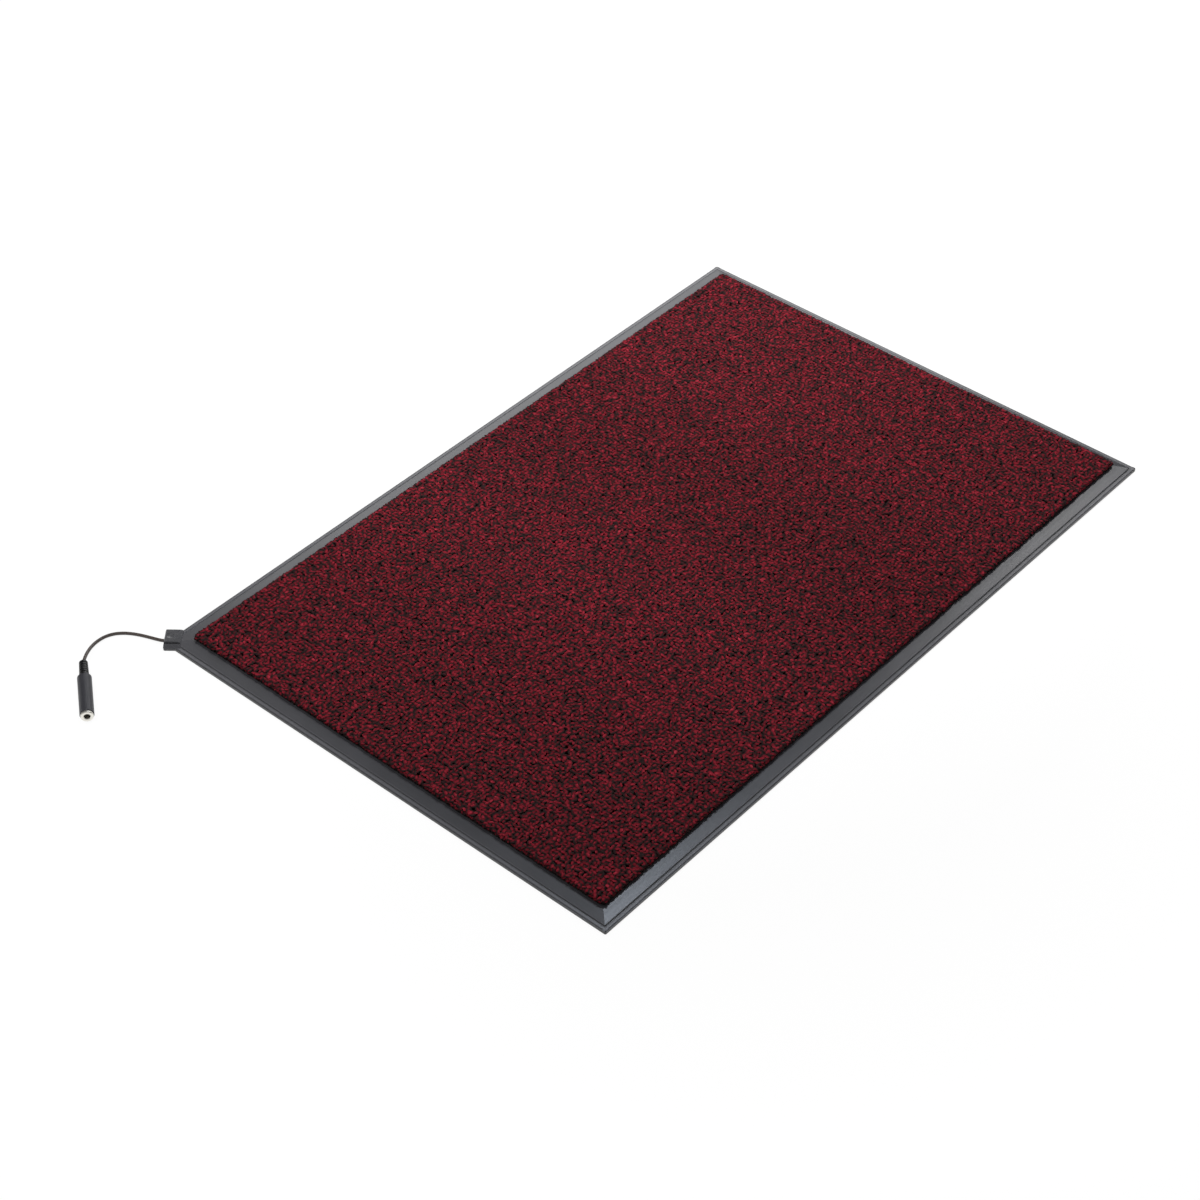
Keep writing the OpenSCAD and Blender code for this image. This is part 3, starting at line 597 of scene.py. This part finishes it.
def moulded_plastic(name, dark, pale, roughness, grain_mm, depth_mm):
    """Plastic with a fine grain, drawn as coarse as it needs to be to show, and a slight change of shade."""
    material, tree, shader, place = new_finish(name, Roughness=roughness, IOR=1.5)
    cloud = add(tree, "ShaderNodeTexNoise", {"Vector": place, "Scale": per_mm(CLOUD_MM), "Detail": 3.0})
    grain = add(tree, "ShaderNodeTexNoise", {"Vector": place, "Scale": per_mm(grain_mm), "Detail": 2.0})
    colour = blend_colours(tree, cloud.outputs["Fac"], dark, pale)
    bump = add(tree, "ShaderNodeBump", {
        "Strength": GRAIN_STRENGTH, "Distance": depth_mm * MM, "Height": grain.outputs["Fac"]})
    tree.links.new(colour.outputs["Color"], shader.inputs["Base Color"])
    tree.links.new(bump.outputs["Normal"], shader.inputs["Normal"])
    return material


# %% Plastic pieces
# Extruded PVC: brownish black, with a soft line of light along the cord
lead_pvc = moulded_plastic("satin_black_pvc", "#38312e", "#443c38", 0.36, 0.8, 0.02)
# Moulded PVC: deep black, so that only the ribs' edges catch the light
boot_pvc = moulded_plastic("moulded_black_pvc", "#0b0b0c", "#121213", 0.36, 0.5, 0.02)
# ABS from a spark-eroded mould: an even, matt dark grey
sleeve_abs = moulded_plastic("matt_black_abs", "#27272b", "#303035", 0.48, 0.35, 0.015)
# Phenolic board: brown and dull
wafer_board = moulded_plastic("pressed_board", "#5d3c24", "#74502f", 0.6, 0.4, 0.03)
# The thin PVC cover of a core: smooth, in a clear colour
core_red = moulded_plastic("red_core_pvc", "#8e1616", "#a52020", 0.35, 0.6, 0.01)
core_black = moulded_plastic("black_core_pvc", "#131313", "#1d1d1d", 0.35, 0.6, 0.01)
# Closed-cell foam: cream, dull and grainy
spacer_foam = moulded_plastic("closed_cell_foam", "#d8d0b4", "#e6dfc6", 0.9, 1.2, 0.2)
# Woven polypropylene: nearly black and dull, under the pile
tufting_cloth = moulded_plastic("woven_tufting_cloth", "#1c1818", "#2a2424", 0.9, 1.0, 0.2)
lead_curve.materials.append(lead_pvc)
dress(boot_pvc, "lead_boot")
dress(sleeve_abs, "socket_sleeve")
dress(wafer_board, "lower_wafer", "upper_wafer")
dress(core_red, "lower_core", "tip_core")
dress(core_black, "upper_core", "sleeve_core")
dress(spacer_foam, "spacer_foam")
dress(tufting_cloth, "carpet_backing")

# %% Metal finish
# Shares of the roughness where the work lines leave the metal brightest and dullest
BRIGHTEST = 0.8
DULLEST = 1.25


def worked_metal(name, dark, pale, roughness, line_mm):
    """Plated, rolled or turned metal: fine work lines that change the gloss a little."""
    material, tree, shader, place = new_finish(name, Metallic=1.0, Roughness=roughness)
    lines = add(tree, "ShaderNodeTexNoise", {"Vector": place, "Scale": per_mm(line_mm), "Detail": 3.0})
    colour = blend_colours(tree, lines.outputs["Fac"], dark, pale)
    gloss = add(tree, "ShaderNodeMapRange", {
        "Value": lines.outputs["Fac"], "To Min": roughness * BRIGHTEST, "To Max": roughness * DULLEST})
    tree.links.new(colour.outputs["Color"], shader.inputs["Base Color"])
    tree.links.new(gloss.outputs[0], shader.inputs["Roughness"])
    return material


# %% Metal pieces
# Nickel plate on turned brass: pale and a little warm, with blurred reflections
nickel_plate = worked_metal("satin_nickel_plate", "#e3e0d7", "#efede6", 0.38, 1.2)
# Rolled brass: yellow, with clearer reflections
brass_strip = worked_metal("rolled_brass_strip", "#b8913f", "#d4b162", 0.3, 0.8)
# Aluminium foil: bright, with slow changes of gloss
contact_foil = worked_metal("bright_aluminium_foil", "#c4c6c8", "#dcdee0", 0.25, 9)
# Plain steel: grey, with close tool marks
rivet_steel = worked_metal("plain_rivet_steel", "#9c9c9c", "#b4b4b4", 0.35, 0.5)
dress(nickel_plate, "socket_bush")
dress(brass_strip, "lower_terminal", "upper_terminal", "sleeve_tag", "tip_spring")
dress(contact_foil, "lower_contact", "upper_contact")
dress(rivet_steel, "stack_rivet")

# %% [markdown]
# ## Floor
# The mat lies on a plain white studio floor. A floor that is lit to pure white would take too much light,
# so part of what the camera sees of it is its own white, and the rest is a plain diffuse floor that keeps
# the mat's soft shadow.

# %% Floor
FLOOR_HALF = 30.0
FLOOR_DROP = 0.1 * MM
FLOOR_COLOUR = "#f4f4f4"
FLOOR_OWN_WHITE = 0.92
# Less light falls on the floor away from the mat, so its own white rises a little between these distances
FLOOR_NEAR = 0.48
FLOOR_FAR = 0.8
FLOOR_FAR_STRENGTH = 1.045


def studio_white():
    """White floor: a plain diffuse floor that shows partly as its own white."""
    material = bpy.data.materials.new("studio_white_floor")
    material.use_nodes = True
    tree = material.node_tree
    tree.nodes.clear()
    path = add(tree, "ShaderNodeLightPath").outputs
    seen = add(tree, "ShaderNodeMath", {
        0: path["Is Camera Ray"], 1: path["Is Glossy Ray"]}, operation="MAXIMUM")
    seen = add(tree, "ShaderNodeMath", {
        0: seen.outputs[0], 1: path["Is Transmission Ray"]}, operation="MAXIMUM")
    share = add(tree, "ShaderNodeMath", {0: seen.outputs[0], 1: FLOOR_OWN_WHITE}, operation="MULTIPLY")
    plain = add(tree, "ShaderNodeBsdfDiffuse", {"Color": linear(FLOOR_COLOUR)})
    place = add(tree, "ShaderNodeTexCoord").outputs["Object"]
    away = add(tree, "ShaderNodeVectorMath", {0: place}, operation="LENGTH").outputs["Value"]
    strength = add(tree, "ShaderNodeMapRange", {
        "Value": away, "From Min": FLOOR_NEAR, "From Max": FLOOR_FAR,
        "To Min": 1.0, "To Max": FLOOR_FAR_STRENGTH})
    own = add(tree, "ShaderNodeEmission", {"Color": linear("#ffffff"), "Strength": strength.outputs[0]})
    mixed = add(tree, "ShaderNodeMixShader", {0: share.outputs[0], 1: plain.outputs[0], 2: own.outputs[0]})
    add(tree, "ShaderNodeOutputMaterial", {"Surface": mixed.outputs[0]})
    return material


floor_bm = bmesh.new()
bmesh.ops.create_grid(
    floor_bm, x_segments=1, y_segments=1, size=FLOOR_HALF, matrix=Matrix.Translation((0, 0, -FLOOR_DROP)))
floor_mesh = bpy.data.meshes.new("floor")
floor_bm.to_mesh(floor_mesh)
floor_bm.free()
floor_mesh.materials.append(studio_white())
floor = bpy.data.objects.new("floor", floor_mesh)
bpy.context.scene.collection.objects.link(floor)
print("floor:", 2 * FLOOR_HALF, "m square")

# %% [markdown]
# ## Light
# One large lamp would light the mat evenly, but in the photograph the carpet grows darker towards the near
# corner and each side of the border has its own highlight, so there are several soft boxes. Two with grids
# light the dull pile and don't show in the rubber: the key over the far corner and a weaker one over the
# lug. The others are what the rubber mirrors: a low, wide one behind the mat, and small ones whose
# highlights lie on the near right side, at the near corner, at the lug's end of the near left side and
# along the far right side. The sky fills in, more from the camera's side.

# %% Sky
SKY_STRENGTH = 0.3
SKY_CHANGE = 0.24
BRIGHT_SIDE = Vector((-0.75, -0.66, 0))
world = bpy.data.worlds.new("studio")
world.use_nodes = True
sky = world.node_tree
way = add(sky, "ShaderNodeTexCoord").outputs["Generated"]
side = add(sky, "ShaderNodeVectorMath", {0: way, 1: BRIGHT_SIDE}, operation="DOT_PRODUCT").outputs["Value"]
level = add(sky, "ShaderNodeMath", {
    0: side, 1: SKY_CHANGE, 2: SKY_STRENGTH}, operation="MULTIPLY_ADD").outputs[0]
sky.nodes["Background"].inputs["Color"].default_value = linear("#ffffff")
sky.links.new(level, sky.nodes["Background"].inputs["Strength"])
bpy.context.scene.world = world
print("sky:", SKY_STRENGTH, "and up to", SKY_CHANGE, "more or less by direction")


# %% Soft boxes
def soft_box(name, place, aim, width, height, watts, glossy=True, diffuse=True, grid=180, tint="#ffffff"):
    """A soft box turned to its aim, with a grid in degrees, that glossy or dull faces may not see."""
    lamp = bpy.data.lights.new(name, "AREA")
    lamp.shape = "RECTANGLE"
    lamp.size = width
    lamp.size_y = height
    lamp.energy = watts
    lamp.spread = math.radians(grid)
    lamp.color = linear(tint)[:3]
    box = bpy.data.objects.new(name, lamp)
    box.location = place
    box.rotation_euler = (Vector(place) - Vector(aim)).to_track_quat("Z", "Y").to_euler()
    box.visible_glossy = glossy
    box.visible_diffuse = diffuse
    bpy.context.scene.collection.objects.link(box)
    print(name, watts, "W")


soft_box("key_soft_box", place=(0.45, 0.3, 1.8), aim=(0.45, 0.3, 0),
         width=0.6, height=0.6, watts=10.2, glossy=False, grid=90)
soft_box("lug_side_soft_box", place=(-0.9, 0.75, 1.1), aim=(-0.45, 0.3, 0),
         width=0.6, height=0.6, watts=2.2, glossy=False, grid=90)
soft_box("back_soft_box", place=(1.09, 1.07, 0.75), aim=(0.09, -0.08, 0),
         width=1.6, height=0.6, watts=8)
soft_box("right_soft_box", place=(1.56, 0.16, 1.3), aim=(0.26, -0.3, 0),
         width=0.4, height=0.4, watts=2.9)
soft_box("near_soft_box", place=(0.5, 0.31, 1.66), aim=(-0.45, -0.3, 0),
         width=0.28, height=0.28, watts=5, diffuse=False, tint="#e4f0ff")
soft_box("left_soft_box", place=(0.19, 1.42, 1.49), aim=(-0.45, 0.25, 0),
         width=0.4, height=0.4, watts=0.5)
soft_box("far_side_soft_box", place=(1.7, 0.7, 0.5), aim=(0.45, 0.05, 0),
         width=0.5, height=0.3, watts=0.6, diffuse=False)
bpy.context.scene.view_settings.view_transform = "Standard"
